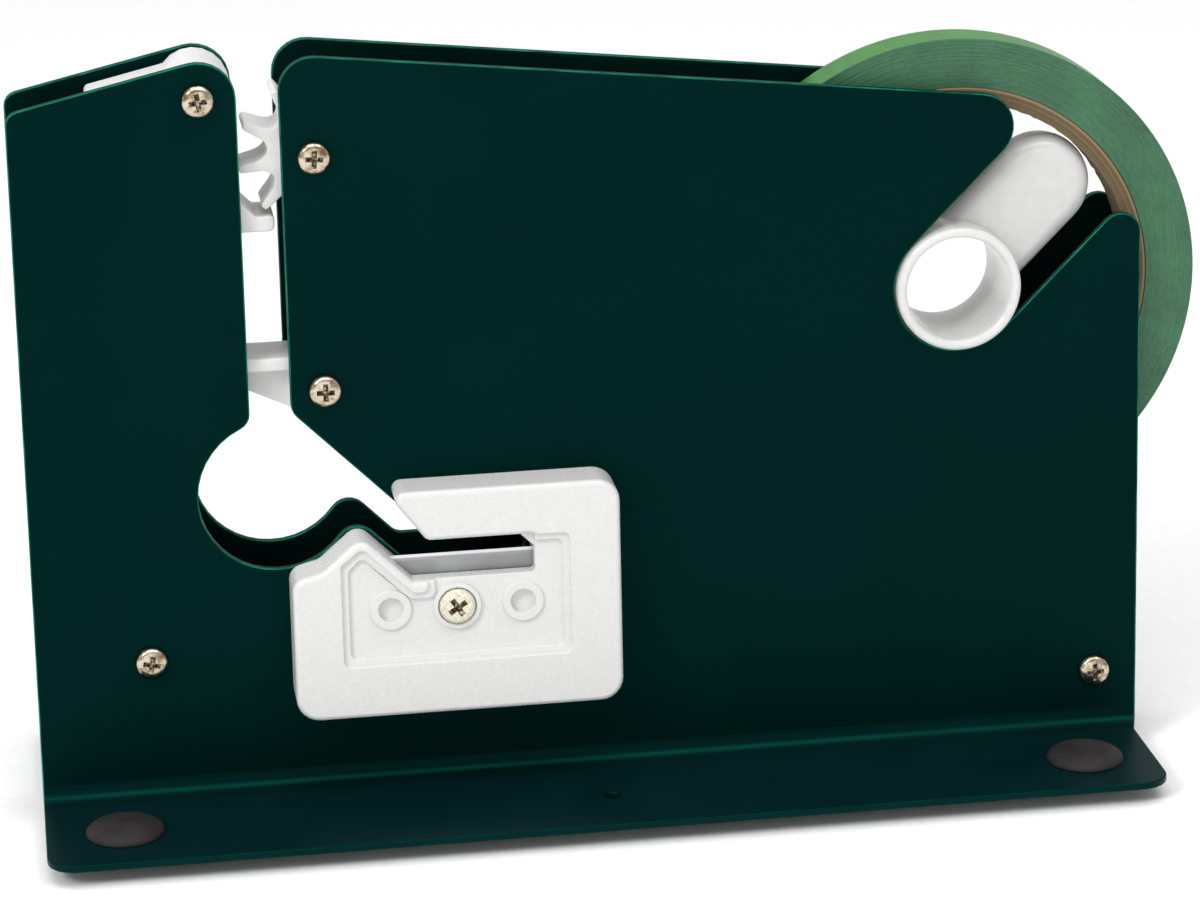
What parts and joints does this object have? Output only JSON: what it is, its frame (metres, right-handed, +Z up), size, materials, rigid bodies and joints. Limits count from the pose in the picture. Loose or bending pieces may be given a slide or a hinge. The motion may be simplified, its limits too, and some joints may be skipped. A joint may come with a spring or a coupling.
{
  "type": "bag neck sealer",
  "caption": "Countertop bag neck sealer: two bent steel plates with a bag slot, star wheel, sprung levers, a lift-out tape roll on a hub, and a blade trimmer.",
  "frame": {"origin": "on the surface it stands on, under the middle of the whole object's bounding box", "axes": "+X along the side plates from the bag slot to the tape roll, +Y from the trimmer's side to the back, +Z up"},
  "size_m": [0.2448, 0.0882, 0.1595],
  "materials": {
    "green_enamel": "satin baked enamel",
    "nickel_screw": "bright nickel plate",
    "bright_steel": "turned bright steel",
    "blade_steel": "ground steel",
    "spring_steel": "drawn spring wire",
    "yellow_zinc": "yellow zinc plate",
    "white_plastic": "fine moulded grain",
    "hub_plastic": "smooth moulded",
    "kraft_card": "bare kraft card",
    "green_tape": "wound tape, satin",
    "black_rubber": "matt rubber"
  },
  "bodies": {
    "frame": {"front_side_plate": "green_enamel", "rear_side_plate": "green_enamel", "press_axle": "bright_steel", "star_axle": "bright_steel", "gate_axle": "bright_steel", "lower_left_spacer": "bright_steel", "lower_right_spacer": "bright_steel", "press_axle_screw_front": "nickel_screw", "press_axle_screw_rear": "nickel_screw", "star_axle_screw_front": "nickel_screw", "star_axle_screw_rear": "nickel_screw", "gate_axle_screw_front": "nickel_screw", "gate_axle_screw_rear": "nickel_screw", "lower_left_spacer_screw_front": "nickel_screw", "lower_left_spacer_screw_rear": "nickel_screw", "lower_right_spacer_screw_front": "nickel_screw", "lower_right_spacer_screw_rear": "nickel_screw", "trimmer_housing": "white_plastic", "trimmer_blade": "blade_steel", "trimmer_screw": "yellow_zinc", "trimmer_nut": "yellow_zinc", "foot_front_left": "black_rubber", "foot_front_right": "black_rubber", "foot_rear_left": "black_rubber", "foot_rear_right": "black_rubber"},
    "hub": {"tape_hub": "hub_plastic"},
    "roll": {"tape_core": "kraft_card", "tape_winding": "green_tape"},
    "star": {"star_wheel": "white_plastic"},
    "press": {"press_lever": "white_plastic", "press_spring": "spring_steel"},
    "gate": {"gate_lever": "white_plastic", "gate_spring": "spring_steel", "tape_cutter_blade": "blade_steel"}
  },
  "joints": [
    {"name": "hub_lift", "type": "slide", "parent": "frame", "child": "hub", "axis": [0.7071, 0, 0.7071], "range_m": [0, 0.05]},
    {"name": "roll_spin", "type": "hinge", "parent": "hub", "child": "roll", "pos_m": [0.0708, 0, 0.1036], "axis": [0, 1, 0], "continuous": true},
    {"name": "star_spin", "type": "hinge", "parent": "frame", "child": "star", "pos_m": [-0.0615, 0, 0.1389], "axis": [0, 1, 0], "continuous": true},
    {"name": "press_swing", "type": "hinge", "parent": "frame", "child": "press", "pos_m": [-0.0842, 0, 0.1518], "axis": [0, 1, 0], "range_deg": [0, 12], "stiffness_Nm_per_rad": 0.05, "springref_deg": -17.19},
    {"name": "gate_swing", "type": "hinge", "parent": "frame", "child": "gate", "pos_m": [-0.061, 0, 0.0901], "axis": [0, 1, 0], "range_deg": [-40, 0], "stiffness_Nm_per_rad": 0.05, "springref_deg": 17.19}
  ]
}
